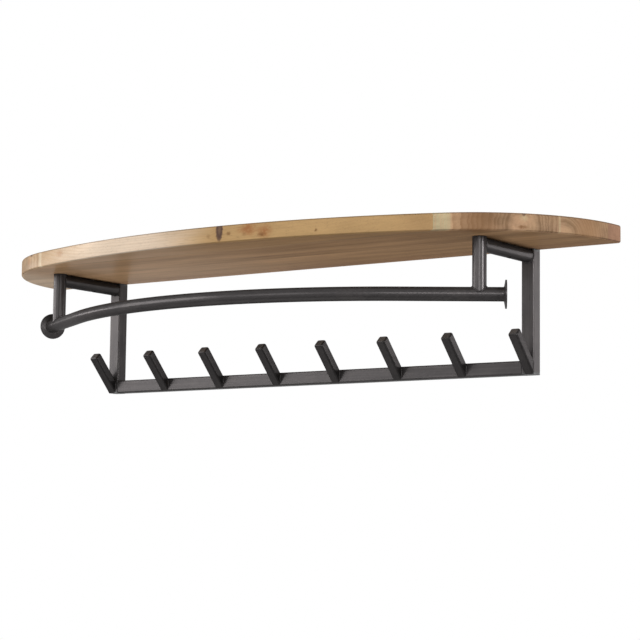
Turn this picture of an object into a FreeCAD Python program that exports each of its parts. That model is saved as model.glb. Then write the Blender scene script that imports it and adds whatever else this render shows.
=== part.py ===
import FreeCAD, Part
import math
import os

import Sketcher
from FreeCAD import Placement, Rotation, Vector

# Wall coat rack: a bow-front shelf of four glued boards on a welded steel frame.
# Two square posts hang on wall screws by keyholes in their rear walls. A square bar with
# eight hooks joins their feet. Round arms under the shelf carry round drops, and a bowed
# round coat rail with flat end discs is coped and welded under the drops.
# +X is to the right, +Y into the wall and +Z up. The origin lies on the wall plane,
# in the middle of the four keyhole entries.

SIZES = (
    ("shelf_length", 1050, "shelf from end to end"),
    ("shelf_depth", 290, "shelf from the wall to the middle of its front edge"),
    ("shelf_thickness", 25, "thickness of the boards"),
    ("shelf_end_radius", 240, "plan radius of the two shelf ends"),
    ("shelf_edge", 2, "chamfer that eases the shelf edges"),
    ("second_board", 107, "width of the second board from the front"),
    ("third_board", 86, "width of the third board from the front"),
    ("back_board", 36, "width of the board at the wall"),
    ("frame_width", 792, "between the outer faces of the posts"),
    ("post_height", 180, "from the foot of a post to the shelf"),
    ("square_side", 20, "side of the square tube of posts and bar"),
    ("square_round", 2, "outer corner radius of the square tube"),
    ("tube_wall", 1.5, "wall of every tube"),
    ("plug_head", 3, "thickness of a post plug outside the tube"),
    ("plug_insert", 12, "length of a post plug inside the tube"),
    ("plug_gap", 0.2, "clearance between a plug and the tube bore"),
    ("key_spacing", 120, "between the keyhole entries of one post"),
    ("key_entry", 10, "diameter of a keyhole entry"),
    ("key_slot", 5, "width of a keyhole slot"),
    ("key_rise", 11, "from a keyhole entry to the end of its slot"),
    ("arm_diameter", 20, "outside of the arm tube"),
    ("arm_reach", 154, "from the wall to the axis of a drop"),
    ("drop_diameter", 20, "outside of the drop tube"),
    ("cope_land", 3, "blunt end left on a coped tube"),
    ("rail_diameter", 20, "outside of the coat rail"),
    ("rail_below_shelf", 80, "from the shelf down to the rail axis"),
    ("rail_bow_radius", 550, "bend radius of the rail axis"),
    ("rail_end_angle", 32, "angle in plan of the straight rail ends, in degrees"),
    ("rail_overhang", 34, "rail past the axis of a drop"),
    ("disc_diameter", 40, "end disc of the rail"),
    ("disc_rim", 2, "thickness of the disc at its rim"),
    ("disc_middle", 3.5, "thickness of the disc at the rail"),
    ("disc_land", 2, "flat ring of the disc round the rail"),
    ("hook_count", 8, "hooks along the bar"),
    ("hook_side", 15, "side of the square hook bar"),
    ("hook_length", 72, "lower edge of a hook"),
    ("hook_angle", 47, "rise of a hook above level, in degrees"),
    ("hook_edge", 1.2, "chamfer of the hook edges"),
    ("screw_diameter", 4, "shank of a shelf screw"),
    ("screw_head", 8, "head of a shelf screw"),
    ("screw_length", 20, "shank of a shelf screw"),
    ("screw_hole", 4.4, "hole for a shelf screw in the arm and the shelf"),
    ("screw_spare", 1, "hole in the shelf past the screw's end"),
    ("screw_access", 9.5, "hole under the arm that passes the screw head"),
    ("screw_distance", 56, "from the post to the shelf screw of its arm"),
)

# Expressions that several pieces share
SHELF_Z = "Sizes.post_height / 2"
POST_X = "(Sizes.frame_width - Sizes.square_side) / 2"
RAIL_Z = "Sizes.post_height / 2 - Sizes.rail_below_shelf"
ARM_Z = "(Sizes.post_height - Sizes.arm_diameter) / 2"
ARM_FREE = "(Sizes.arm_reach - Sizes.square_side)"
SLOPE = "(Sizes.rail_end_angle * 1 deg)"
HOOK_RISE = "(Sizes.hook_angle * 1 deg)"
SQUARE_BORE = "(Sizes.square_side - 2 * Sizes.tube_wall)"
SCREW_Y = "-Sizes.square_side - Sizes.screw_distance"
SIDES = (("left", -1), ("right", 1))

# Sketcher's numbers for the origin, the two axes and the points of a curve
ORIGIN, HORIZONTAL, VERTICAL = -1, -1, -2
START, END, CENTRE = 1, 2, 3

doc = FreeCAD.newDocument("wall_coat_rack")
sheet = doc.addObject("Spreadsheet::Sheet", "Sizes")
sub_parts = []


def fill_sheet():
    """Write each driving size with its meaning and alias."""
    for row, (alias, value, meaning) in enumerate(SIZES, start=1):
        sheet.set(f"A{row}", meaning)
        sheet.set(f"B{row}", str(value))
        sheet.setAlias(f"B{row}", alias)
    doc.recompute()


def size(alias):
    """Give one driving size as a number."""
    return float(sheet.get(alias))


def place(item, x="0", y="0", z="0"):
    """Bind an object's position to expressions."""
    for axis, expression in (("x", x), ("y", y), ("z", z)):
        item.setExpression(f"Placement.Base.{axis}", expression)


def new_body(label, x="0", y="0", z="0", is_sub_part=True):
    """Start a body at a position given by expressions."""
    body = doc.addObject("PartDesign::Body", label)
    body.Label = label
    place(body, x, y, z)
    if is_sub_part:
        sub_parts.append(body)
    return body


def origin_plane(body, role):
    """Find one of the body's own origin planes."""
    return next(item for item in body.Origin.OriginFeatures if item.Role == role)


def new_sketch(body, name, role):
    """Add a sketch on one of the body's own origin planes."""
    sketch = body.newObject("Sketcher::SketchObject", name)
    sketch.AttachmentSupport = [(origin_plane(body, role), "")]
    sketch.MapMode = "FlatFace"
    return sketch


def turn_sketch(sketch, axis, expression):
    """Turn a sketch on its plane about one of its own axes."""
    angle = sketch.evalExpression(expression).getValueAs("deg").Value
    sketch.AttachmentOffset = Placement(Vector(), Rotation(axis, angle))
    sketch.setExpression("AttachmentOffset.Rotation.Angle", expression)


def bind(sketch, name, expression, kind, *elements):
    """Add a dimension that follows an expression."""
    value = sketch.evalExpression(expression)
    if kind == "Angle":
        value = math.radians(value.getValueAs("deg").Value)
    index = sketch.addConstraint(Sketcher.Constraint(kind, *elements, float(value)))
    sketch.renameConstraint(index, name)
    sketch.setExpression(f"Constraints.{name}", expression)


def fix(sketch, kind, *elements):
    """Add a constraint that has no size."""
    sketch.addConstraint(Sketcher.Constraint(kind, *elements))


def line(sketch, start, end, construction=False):
    """Add a straight edge."""
    segment = Part.LineSegment(Vector(*start, 0), Vector(*end, 0))
    return sketch.addGeometry(segment, construction)


def arc(sketch, centre, radius, start, end):
    """Add a round edge, anticlockwise between two angles in radians."""
    whole = Part.Circle(Vector(*centre, 0), Vector(0, 0, 1), radius)
    return sketch.addGeometry(Part.ArcOfCircle(whole, start, end), False)


def polygon(sketch, points):
    """Add a closed outline of straight edges, one from each point to the next."""
    edges = [line(sketch, a, b) for a, b in zip(points, points[1:] + points[:1])]
    for edge, following in zip(edges, edges[1:] + edges[:1]):
        fix(sketch, "Coincident", edge, END, following, START)
    return edges


def circle(sketch, name, diameter, x="0", y="0"):
    """Add a round outline whose diameter and centre follow expressions."""
    centre = [float(sketch.evalExpression(expression)) for expression in (x, y)]
    radius = float(sketch.evalExpression(diameter)) / 2
    ring = sketch.addGeometry(Part.Circle(Vector(*centre, 0), Vector(0, 0, 1), radius), False)
    bind(sketch, f"{name}_diameter", diameter, "Diameter", ring)
    centre_point(sketch, name, ring, x, y)


def centre_point(sketch, name, curve, x, y):
    """Hold the centre of a curve at two expressions, or on an axis where one is zero."""
    for axis, kind, expression in ((VERTICAL, "DistanceX", x), (HORIZONTAL, "DistanceY", y)):
        if expression == "0":
            fix(sketch, "PointOnObject", curve, CENTRE, axis)
        else:
            bind(sketch, f"{name}_{kind}", expression, kind, ORIGIN, START, curve, CENTRE)


def rounded_square(sketch, name, side, radius, x="0", y="0"):
    """Add a square outline with round corners, its centre at two expressions."""
    half = float(sketch.evalExpression(side)) / 2
    corner = float(sketch.evalExpression(radius))
    middle = Vector(*[float(sketch.evalExpression(expression)) for expression in (x, y)])
    inset = half - corner
    edges = []
    for quarter in range(4):
        turn = Rotation(Vector(0, 0, 1), 90 * quarter)
        begin = turn.multVec(Vector(-inset, -half)) + middle
        end = turn.multVec(Vector(inset, -half)) + middle
        centre = turn.multVec(Vector(inset, -inset)) + middle
        angle = math.radians(90 * quarter - 90)
        edges.append(line(sketch, (begin.x, begin.y), (end.x, end.y)))
        edges.append(arc(sketch, (centre.x, centre.y), corner, angle, angle + math.pi / 2))
    for edge, following in zip(edges, edges[1:] + edges[:1]):
        fix(sketch, "Tangent", edge, END, following, START)
    for straight, kind in zip(edges[::2], ("Horizontal", "Vertical") * 2):
        fix(sketch, kind, straight)
    for corner_arc in edges[3::2]:
        fix(sketch, "Equal", edges[1], corner_arc)
    bind(sketch, f"{name}_radius", radius, "Radius", edges[1])
    bind(sketch, f"{name}_width", side, "DistanceX", edges[6], START, edges[2], START)
    bind(sketch, f"{name}_height", side, "DistanceY", edges[0], START, edges[4], START)
    bind(sketch, f"{name}_left", f"{x} - {side} / 2", "DistanceX", ORIGIN, START, edges[6], START)
    bind(sketch, f"{name}_low", f"{y} - {side} / 2", "DistanceY", ORIGIN, START, edges[0], START)


def pad(body, sketch, name, length, symmetric=False, backwards=False):
    """Extrude a sketch by an expression."""
    feature = body.newObject("PartDesign::Pad", name)
    feature.Profile = sketch
    feature.setExpression("Length", length)
    feature.SideType = "Symmetric" if symmetric else "One side"
    feature.Reversed = backwards
    doc.recompute()
    return feature


def pocket(body, sketch, name, length=None, backwards=False):
    """Cut a sketch away to a depth, or right through both ways, and see that it cut."""
    before = body.Shape.Volume
    feature = body.newObject("PartDesign::Pocket", name)
    feature.Profile = sketch
    if length is None:
        feature.Type = "ThroughAll"
        feature.SideType = "Symmetric"
    else:
        feature.setExpression("Length", length)
        feature.Reversed = backwards
    doc.recompute()
    if body.Shape.Volume >= before:
        raise RuntimeError(f"{body.Label}: {name} cuts nothing")
    return feature


def chamfer(body, base, name, amount, chosen):
    """Chamfer the edges of a feature that a test picks."""
    feature = body.newObject("PartDesign::Chamfer", name)
    edges = [f"Edge{i}" for i, edge in enumerate(base.Shape.Edges, start=1) if chosen(edge)]
    feature.Base = (base, edges)
    feature.setExpression("Size", amount)
    doc.recompute()


def square(sketch, name, side, x="0", y="0"):
    """Add a plain square outline, its centre at two expressions."""
    half = float(sketch.evalExpression(side)) / 2
    middle = [float(sketch.evalExpression(expression)) for expression in (x, y)]
    corners = ((-half, -half), (half, -half), (half, half), (-half, half))
    points = [(middle[0] + dx, middle[1] + dy) for dx, dy in corners]
    edges = polygon(sketch, points)
    for straight, kind in zip(edges, ("Horizontal", "Vertical") * 2):
        fix(sketch, kind, straight)
    bind(sketch, f"{name}_width", side, "DistanceX", edges[0], START, edges[0], END)
    bind(sketch, f"{name}_height", side, "DistanceY", edges[1], START, edges[1], END)
    bind(sketch, f"{name}_left", f"{x} - {side} / 2", "DistanceX", ORIGIN, START, edges[0], START)
    bind(sketch, f"{name}_low", f"{y} - {side} / 2", "DistanceY", ORIGIN, START, edges[0], START)


# Shelf

def shelf_outline(sketch):
    """Draw the bow front: one long front arc, tangent to an arc at each end."""
    half = size("shelf_length") / 2
    depth = size("shelf_depth")
    end_radius = size("shelf_end_radius")
    inner = half - end_radius
    front_radius = (half**2 + depth**2 - 2 * half * end_radius) / (2 * (depth - end_radius))
    lean = math.atan2(front_radius - depth, inner)
    back = line(sketch, (-half, 0), (half, 0))
    left = arc(sketch, (-inner, 0), end_radius, math.pi, math.pi + lean)
    front = arc(sketch, (0, front_radius - depth), front_radius, lean - math.pi, -lean)
    right = arc(sketch, (inner, 0), end_radius, -lean, 0)
    middle = line(sketch, (0, 0), (0, -depth), construction=True)
    fix(sketch, "Horizontal", back)
    fix(sketch, "Symmetric", back, START, back, END, ORIGIN, START)
    fix(sketch, "Coincident", back, START, left, START)
    fix(sketch, "Coincident", back, END, right, END)
    fix(sketch, "Tangent", left, END, front, START)
    fix(sketch, "Tangent", front, END, right, START)
    fix(sketch, "PointOnObject", left, CENTRE, HORIZONTAL)
    fix(sketch, "PointOnObject", right, CENTRE, HORIZONTAL)
    fix(sketch, "Equal", left, right)
    fix(sketch, "Coincident", middle, START, ORIGIN, START)
    fix(sketch, "PointOnObject", middle, END, VERTICAL)
    fix(sketch, "PointOnObject", middle, END, front)
    bind(sketch, "length", "Sizes.shelf_length", "DistanceX", back, START, back, END)
    bind(sketch, "end_radius", "Sizes.shelf_end_radius", "Radius", right)
    bind(sketch, "depth", "-Sizes.shelf_depth", "DistanceY", middle, START, middle, END)


def make_shelf():
    """Shape and drill the glued-up shelf, then part it into its boards."""
    blank = new_body("shelf_blank", z=SHELF_Z, is_sub_part=False)
    outline = new_sketch(blank, "shelf_outline", "XY_Plane")
    shelf_outline(outline)
    slab = pad(blank, outline, "shelf_slab", "Sizes.shelf_thickness")

    def on_rim(edge):
        middle = edge.valueAt((edge.FirstParameter + edge.LastParameter) / 2)
        level = abs(edge.tangentAt(edge.FirstParameter).z) < 0.5
        return level and middle.y < -size("shelf_edge")

    chamfer(blank, slab, "shelf_edges", "Sizes.shelf_edge", on_rim)
    holes = new_sketch(blank, "pilot_holes", "XY_Plane")
    for side, sign in SIDES:
        circle(holes, f"{side}_hole", "Sizes.screw_hole", f"{sign} * {POST_X}", SCREW_Y)
    depth = "Sizes.screw_length + Sizes.screw_spare - Sizes.tube_wall"
    pocket(blank, holes, "pilot_bores", depth, backwards=True)
    make_boards(blank)


def make_boards(blank):
    """Cut the shelf along its glue lines, from the wall to the front."""
    behind = "0"
    for label, width in (
        ("shelf_back_board", "Sizes.back_board"),
        ("shelf_third_board", "Sizes.third_board"),
        ("shelf_second_board", "Sizes.second_board"),
        ("shelf_front_board", None),
    ):
        width = width or f"Sizes.shelf_depth - ({behind})"
        strip = doc.addObject("Part::Box", f"{label}_strip")
        strip.setExpression("Length", "Sizes.shelf_length")
        strip.setExpression("Width", width)
        strip.setExpression("Height", "Sizes.shelf_thickness")
        place(strip, "-Sizes.shelf_length / 2", f"-({behind}) - ({width})", SHELF_Z)
        board = doc.addObject("Part::Common", label)
        board.Label = label
        board.Base = blank
        board.Tool = strip
        sub_parts.append(board)
        behind = f"{behind} + {width}"


def make_shelf_screws():
    """Turn a countersunk wood screw for each arm, and keep them as one group."""
    bore = "(Sizes.arm_diameter / 2 - Sizes.tube_wall)"
    curve = f"({bore} - sqrt({bore} ^ 2 - (Sizes.screw_hole / 2) ^ 2))"
    lip = "(Sizes.screw_hole - Sizes.screw_diameter) / 2"
    seat_z = f"{SHELF_Z} - Sizes.tube_wall - {curve} + {lip}"
    screws = []
    for side, sign in SIDES:
        screw = new_body(f"{side}_screw", f"{sign} * {POST_X}", SCREW_Y, seat_z, is_sub_part=False)
        turn_screw(screw)
        screws.append(screw)
    group = doc.addObject("Part::Compound", "shelf_screws")
    group.Label = "shelf_screws"
    group.Links = screws
    sub_parts.append(group)


def turn_screw(body):
    """Revolve one screw: head below, shank up into the shelf."""
    shank = size("screw_diameter") / 2
    head = size("screw_head") / 2
    length = size("screw_length")
    points = [(0, length), (0, shank - head), (head, shank - head), (shank, 0), (shank, length)]
    sketch = new_sketch(body, "screw_profile", "XZ_Plane")
    axis, face, _, stem, tip = polygon(sketch, points)
    for edge in (axis, stem):
        fix(sketch, "Vertical", edge)
    for edge in (face, tip):
        fix(sketch, "Horizontal", edge)
    fix(sketch, "PointOnObject", axis, START, VERTICAL)
    fix(sketch, "PointOnObject", stem, START, HORIZONTAL)
    taper_depth = "(Sizes.screw_head - Sizes.screw_diameter) / 2"
    bind(sketch, "shank", "Sizes.screw_diameter / 2", "DistanceX", ORIGIN, START, stem, START)
    bind(sketch, "head", "Sizes.screw_head / 2", "DistanceX", face, START, face, END)
    bind(sketch, "cone", taper_depth, "DistanceY", face, END, stem, START)
    bind(sketch, "length", "Sizes.screw_length", "DistanceY", stem, START, stem, END)
    turned = body.newObject("PartDesign::Revolution", "screw_turned")
    turned.Profile = sketch
    turned.ReferenceAxis = (sketch, ["V_Axis"])
    turned.Angle = 360
    doc.recompute()


# Wall posts

def keyhole(sketch, name, height):
    """Draw a round entry with a slot that rises from it."""
    entry = size("key_entry") / 2
    slot = size("key_slot") / 2
    middle = float(sketch.evalExpression(height))
    top = middle + size("key_rise")
    gape = math.asin(slot / entry)
    shoulder = middle + entry * math.cos(gape)
    bowl = arc(sketch, (0, middle), entry, math.pi / 2 + gape, 2.5 * math.pi - gape)
    right = line(sketch, (slot, shoulder), (slot, top))
    crown = arc(sketch, (0, top), slot, 0, math.pi)
    left = line(sketch, (-slot, top), (-slot, shoulder))
    fix(sketch, "Coincident", bowl, END, right, START)
    fix(sketch, "Tangent", right, END, crown, START)
    fix(sketch, "Tangent", crown, END, left, START)
    fix(sketch, "Coincident", left, END, bowl, START)
    fix(sketch, "Vertical", right)
    fix(sketch, "Vertical", left)
    fix(sketch, "PointOnObject", crown, CENTRE, VERTICAL)
    centre_point(sketch, name, bowl, "0", height)
    bind(sketch, f"{name}_entry", "Sizes.key_entry", "Diameter", bowl)
    bind(sketch, f"{name}_slot", "Sizes.key_slot", "Diameter", crown)
    bind(sketch, f"{name}_rise", "Sizes.key_rise", "DistanceY", bowl, CENTRE, crown, CENTRE)


def make_post(side, sign):
    """Make a square tube with two keyholes in its rear wall."""
    post = new_body(f"{side}_post", f"{sign} * {POST_X}")
    profile = new_sketch(post, "post_profile", "XY_Plane")
    centre = "-Sizes.square_side / 2"
    rounded_square(profile, "outside", "Sizes.square_side", "Sizes.square_round", y=centre)
    square(profile, "bore", SQUARE_BORE, y=centre)
    pad(post, profile, "post_tube", "Sizes.post_height - 2 * Sizes.plug_head", symmetric=True)
    holes = new_sketch(post, "keyholes", "XZ_Plane")
    keyhole(holes, "upper", "Sizes.key_spacing / 2")
    keyhole(holes, "lower", "-Sizes.key_spacing / 2")
    pocket(post, holes, "keyhole_cut", "Sizes.tube_wall", backwards=True)


def make_plug(side, sign, end, up):
    """Close one end of a post with a moulded plug, its head outside the tube."""
    mouth = f"{up} * (Sizes.post_height / 2 - Sizes.plug_head)"
    plug = new_body(f"{side}_post_{end}_plug", f"{sign} * {POST_X}", "-Sizes.square_side / 2", mouth)
    cap = new_sketch(plug, "head_outline", "XY_Plane")
    rounded_square(cap, "head", "Sizes.square_side", "Sizes.square_round")
    pad(plug, cap, "plug_cap", "Sizes.plug_head", backwards=up < 0)
    stem = new_sketch(plug, "insert_outline", "XY_Plane")
    square(stem, "insert", f"({SQUARE_BORE} - 2 * Sizes.plug_gap)")
    pad(plug, stem, "plug_stem", "Sizes.plug_insert", backwards=up > 0)


# Hook bar and hooks

def make_hook_bar():
    """Make the square tube that joins the feet of the posts."""
    bar = new_body("hook_bar", z="(Sizes.square_side - Sizes.post_height) / 2")
    profile = new_sketch(bar, "bar_profile", "YZ_Plane")
    centre = "-Sizes.square_side / 2"
    rounded_square(profile, "outside", "Sizes.square_side", "Sizes.square_round", x=centre)
    square(profile, "bore", SQUARE_BORE, x=centre)
    pad(bar, profile, "bar_tube", "Sizes.frame_width - 2 * Sizes.square_side", symmetric=True)


def make_hook(number):
    """Make one straight hook of square bar, cut upright at its root."""
    pitch = "(Sizes.frame_width - Sizes.hook_side) / (Sizes.hook_count - 1)"
    x = f"(Sizes.hook_side - Sizes.frame_width) / 2 + {number - 1} * {pitch}"
    hook = new_body(f"hook_{number}", x, "-Sizes.square_side", "-Sizes.post_height / 2")
    rise = math.radians(size("hook_angle"))
    along = Vector(-math.cos(rise), math.sin(rise))
    across = Vector(math.sin(rise), math.cos(rise))
    low = along * size("hook_length")
    high = low + across * size("hook_side")
    points = [(0, 0), (low.x, low.y), (high.x, high.y), (0, size("hook_side") / math.cos(rise))]
    sketch = new_sketch(hook, "hook_side_view", "YZ_Plane")
    lower, tip, upper, root = polygon(sketch, points)
    fix(sketch, "Coincident", lower, START, ORIGIN, START)
    fix(sketch, "Vertical", root)
    fix(sketch, "Parallel", lower, upper)
    fix(sketch, "Perpendicular", lower, tip)
    bind(sketch, "length", "Sizes.hook_length", "Distance", lower)
    bind(sketch, "depth", "Sizes.hook_side", "Distance", tip)
    bind(sketch, "rise", f"180 deg - {HOOK_RISE}", "Angle", lower)
    bar = pad(hook, sketch, "hook_bar_stock", "Sizes.hook_side", symmetric=True)

    def off_root(edge):
        return any(vertex.Y < -size("hook_edge") for vertex in edge.Vertexes)

    chamfer(hook, bar, "hook_edges", "Sizes.hook_edge", off_root)


# Arms, drops and rail

def make_arm(side, sign):
    """Make a round arm from post to drop, coped to the drop and drilled for its shelf screw."""
    arm = new_body(f"{side}_arm", f"{sign} * {POST_X}", "-Sizes.square_side", ARM_Z)
    profile = new_sketch(arm, "arm_profile", "XZ_Plane")
    circle(profile, "outside", "Sizes.arm_diameter")
    circle(profile, "bore", "Sizes.arm_diameter - 2 * Sizes.tube_wall")
    pad(arm, profile, "arm_tube", f"{ARM_FREE} - Sizes.cope_land")
    cope = new_sketch(arm, "drop_outline", "XY_Plane")
    circle(cope, "drop", "Sizes.drop_diameter", y=f"-{ARM_FREE}")
    pocket(arm, cope, "drop_cope")
    for name, diameter, upwards in (
        ("screw_hole", "Sizes.screw_hole", True),
        ("access_hole", "Sizes.screw_access", False),
    ):
        outline = new_sketch(arm, name, "XY_Plane")
        circle(outline, name, diameter, y="-Sizes.screw_distance")
        pocket(arm, outline, f"{name}_cut", "Sizes.arm_diameter", backwards=upwards)


def make_drop(side, sign):
    """Make a round drop from the shelf down to the rail, coped to the rail."""
    drop = new_body(f"{side}_drop", f"{sign} * {POST_X}", "-Sizes.arm_reach", RAIL_Z)
    profile = new_sketch(drop, "drop_profile", "XY_Plane")
    profile.setExpression("AttachmentOffset.Base.z", "Sizes.cope_land")
    circle(profile, "outside", "Sizes.drop_diameter")
    circle(profile, "bore", "Sizes.drop_diameter - 2 * Sizes.tube_wall")
    pad(drop, profile, "drop_tube", "Sizes.rail_below_shelf - Sizes.cope_land")
    cope = new_sketch(drop, "rail_outline", "YZ_Plane")
    turn_sketch(cope, Vector(0, sign, 0), SLOPE)
    circle(cope, "rail", "Sizes.rail_diameter")
    pocket(drop, cope, "rail_cope")


def make_rail():
    """Sweep half of the bowed rail from the middle outwards, and mirror it."""
    rail = new_body("coat_rail", z=RAIL_Z)
    slope = math.radians(size("rail_end_angle"))
    radius = size("rail_bow_radius")
    overhang = size("rail_overhang")
    end_x = f"{POST_X} + Sizes.rail_overhang * cos({SLOPE})"
    end_y = f"-Sizes.arm_reach + Sizes.rail_overhang * sin({SLOPE})"
    drop_x = (size("frame_width") - size("square_side")) / 2
    end = (drop_x + overhang * math.cos(slope), -size("arm_reach") + overhang * math.sin(slope))
    turn_x = radius * math.sin(slope)
    turn_y = end[1] - (end[0] - turn_x) * math.tan(slope)
    centre = (0, turn_y + radius * math.cos(slope))
    path = new_sketch(rail, "rail_path", "XY_Plane")
    bow = arc(path, centre, radius, -math.pi / 2, slope - math.pi / 2)
    straight = line(path, (turn_x, turn_y), end)
    fix(path, "PointOnObject", bow, CENTRE, VERTICAL)
    fix(path, "PointOnObject", bow, START, VERTICAL)
    fix(path, "Tangent", bow, END, straight, START)
    bind(path, "bow_radius", "Sizes.rail_bow_radius", "Radius", bow)
    bind(path, "end_slope", SLOPE, "Angle", straight)
    bind(path, "end_x", end_x, "DistanceX", ORIGIN, START, straight, END)
    bind(path, "end_y", end_y, "DistanceY", ORIGIN, START, straight, END)
    bow_depth = f"{POST_X} * tan({SLOPE}) - Sizes.rail_bow_radius * (1 / cos({SLOPE}) - 1)"
    middle = f"-(Sizes.arm_reach + {bow_depth})"
    profile = new_sketch(rail, "rail_profile", "YZ_Plane")
    circle(profile, "outside", "Sizes.rail_diameter", x=middle)
    circle(profile, "bore", "Sizes.rail_diameter - 2 * Sizes.tube_wall", x=middle)
    sweep = rail.newObject("PartDesign::AdditivePipe", "rail_sweep")
    sweep.Profile = profile
    sweep.Spine = (path, ["Edge1", "Edge2"])
    doc.recompute()
    mirrored = rail.newObject("PartDesign::Mirrored", "rail_mirrored")
    mirrored.Originals = [sweep]
    mirrored.MirrorPlane = (origin_plane(rail, "YZ_Plane"), [""])
    rail.Tip = mirrored
    doc.recompute()


def make_disc(side, sign):
    """Turn an end disc: flat outside, coned on the inside towards the rail."""
    x = f"{sign} * ({POST_X} + Sizes.rail_overhang * cos({SLOPE}))"
    y = f"-Sizes.arm_reach + Sizes.rail_overhang * sin({SLOPE})"
    disc = new_body(f"{side}_rail_disc", x, y, RAIL_Z)
    radius = size("disc_diameter") / 2
    land = size("rail_diameter") / 2 + size("disc_land")
    middle = size("disc_middle")
    rim = size("disc_rim")
    points = [(0, 0), (middle, 0), (middle, radius), (middle - rim, radius), (0, land)]
    sketch = new_sketch(disc, "disc_profile", "XY_Plane")
    heading = SLOPE if sign > 0 else f"180 deg - {SLOPE}"
    turn_sketch(sketch, Vector(0, 0, 1), heading)
    axis, outside, edge_line, _, seat = polygon(sketch, points)
    fix(sketch, "Coincident", axis, START, ORIGIN, START)
    for edge in (axis, edge_line):
        fix(sketch, "Horizontal", edge)
    for edge in (outside, seat):
        fix(sketch, "Vertical", edge)
    bind(sketch, "middle", "Sizes.disc_middle", "DistanceX", axis, START, axis, END)
    bind(sketch, "radius", "Sizes.disc_diameter / 2", "DistanceY", outside, START, outside, END)
    bind(sketch, "rim", "Sizes.disc_rim", "DistanceX", edge_line, END, edge_line, START)
    land_radius = "Sizes.rail_diameter / 2 + Sizes.disc_land"
    bind(sketch, "land", land_radius, "DistanceY", ORIGIN, START, seat, START)
    turned = disc.newObject("PartDesign::Revolution", "disc_turned")
    turned.Profile = sketch
    turned.ReferenceAxis = (sketch, ["H_Axis"])
    turned.Angle = 360
    doc.recompute()


def check_and_export():
    """Stop at any failed object, then write one file for each sub-part."""
    doc.recompute()
    for item in doc.Objects:
        if {"Invalid", "Error"} & set(item.State):
            raise RuntimeError(f"{item.Label} failed: {item.State}")
    for item in sub_parts:
        if item.Shape.isNull() or not item.Shape.isValid():
            raise RuntimeError(f"{item.Label} has no valid shape")
    os.makedirs("parts", exist_ok=True)
    for item in sub_parts:
        item.Shape.exportStep(f"parts/{item.Label}.step")
        print(f"{item.Label}: {len(item.Shape.Solids)} solid, {item.Shape.Volume / 1000:.1f} cm3")


fill_sheet()
make_shelf()
make_shelf_screws()
for side_name, direction in SIDES:
    make_post(side_name, direction)
    make_plug(side_name, direction, "top", 1)
    make_plug(side_name, direction, "foot", -1)
    make_arm(side_name, direction)
    make_drop(side_name, direction)
    make_disc(side_name, direction)
make_rail()
make_hook_bar()
for hook_number in range(1, int(size("hook_count")) + 1):
    make_hook(hook_number)
check_and_export()
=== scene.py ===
import math
from dataclasses import dataclass
from functools import partial, reduce

import bmesh
import bpy
from bpy.props import FloatProperty, FloatVectorProperty, IntProperty, PointerProperty
from mathutils import Euler, Matrix, Vector


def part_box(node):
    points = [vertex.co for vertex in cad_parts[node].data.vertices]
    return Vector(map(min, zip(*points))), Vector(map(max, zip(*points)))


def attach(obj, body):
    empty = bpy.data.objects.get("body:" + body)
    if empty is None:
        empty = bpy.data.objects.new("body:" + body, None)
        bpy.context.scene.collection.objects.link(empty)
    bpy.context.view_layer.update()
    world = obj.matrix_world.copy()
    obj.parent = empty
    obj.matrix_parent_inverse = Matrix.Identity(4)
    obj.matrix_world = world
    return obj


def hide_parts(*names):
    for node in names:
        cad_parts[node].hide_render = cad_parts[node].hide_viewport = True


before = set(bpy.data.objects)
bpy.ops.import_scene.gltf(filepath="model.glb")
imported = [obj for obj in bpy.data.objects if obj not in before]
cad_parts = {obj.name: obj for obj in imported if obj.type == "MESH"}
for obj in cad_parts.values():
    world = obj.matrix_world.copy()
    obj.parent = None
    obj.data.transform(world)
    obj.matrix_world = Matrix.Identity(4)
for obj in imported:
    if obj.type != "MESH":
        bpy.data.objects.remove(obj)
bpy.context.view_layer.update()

bl_info = {
    "name": "Wall Coat Rack",
    "version": (1, 0, 0),
    "blender": (4, 5, 0),
    "location": "View3D > Sidebar > Coat Rack",
    "description": "Dresses a bow-front wall coat rack in glued boards, lacquered steel and plastic",
    "category": "Object",
}

# Lowest and highest corners of the right-hand bracket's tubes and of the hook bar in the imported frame
POST_LOW, POST_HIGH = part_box("right_post")
ARM_LOW, ARM_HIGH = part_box("right_arm")
DROP_LOW, DROP_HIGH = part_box("right_drop")
BAR_LOW, BAR_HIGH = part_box("hook_bar")

# Nodes that this script makes anew, and the two sides of the frame
HOOK_NODES = tuple(f"hook_{number}" for number in range(1, 9))
BOARD_NODES = ("shelf_front_board", "shelf_second_board", "shelf_third_board", "shelf_back_board")
SIDES = (("left", -1), ("right", 1))

# Shading turns sharp at the first angle, and CAD edges over the second one are softened in a few steps
SHARP_FROM = math.radians(40)
SOFTEN_FROM = math.radians(25)
SOFTEN_STEPS = 3

# A bevel's profile that makes it round, and the distance within which two points are one
ROUND_PROFILE = 0.5
SAME_POINT = 1e-6


# Settings

def length(label, text, value):
    """A size in metres."""
    return FloatProperty(name=label, description=text, default=value, subtype="DISTANCE", precision=4)


def angle(label, text, degrees):
    """An angle, given in degrees and kept in radians."""
    return FloatProperty(name=label, description=text, default=math.radians(degrees), subtype="ANGLE")


def colour(label, text, value):
    """A linear colour."""
    return FloatVectorProperty(
        name=label, description=text, default=value, size=3, min=0, max=1, subtype="COLOR"
    )


def amount(label, text, value):
    """A plain factor from 0 to 1."""
    return FloatProperty(name=label, description=text, default=value, min=0, max=1, subtype="FACTOR")


def power(label, text, value):
    """A lamp's power in watts."""
    return FloatProperty(name=label, description=text, default=value, subtype="POWER")


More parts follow.
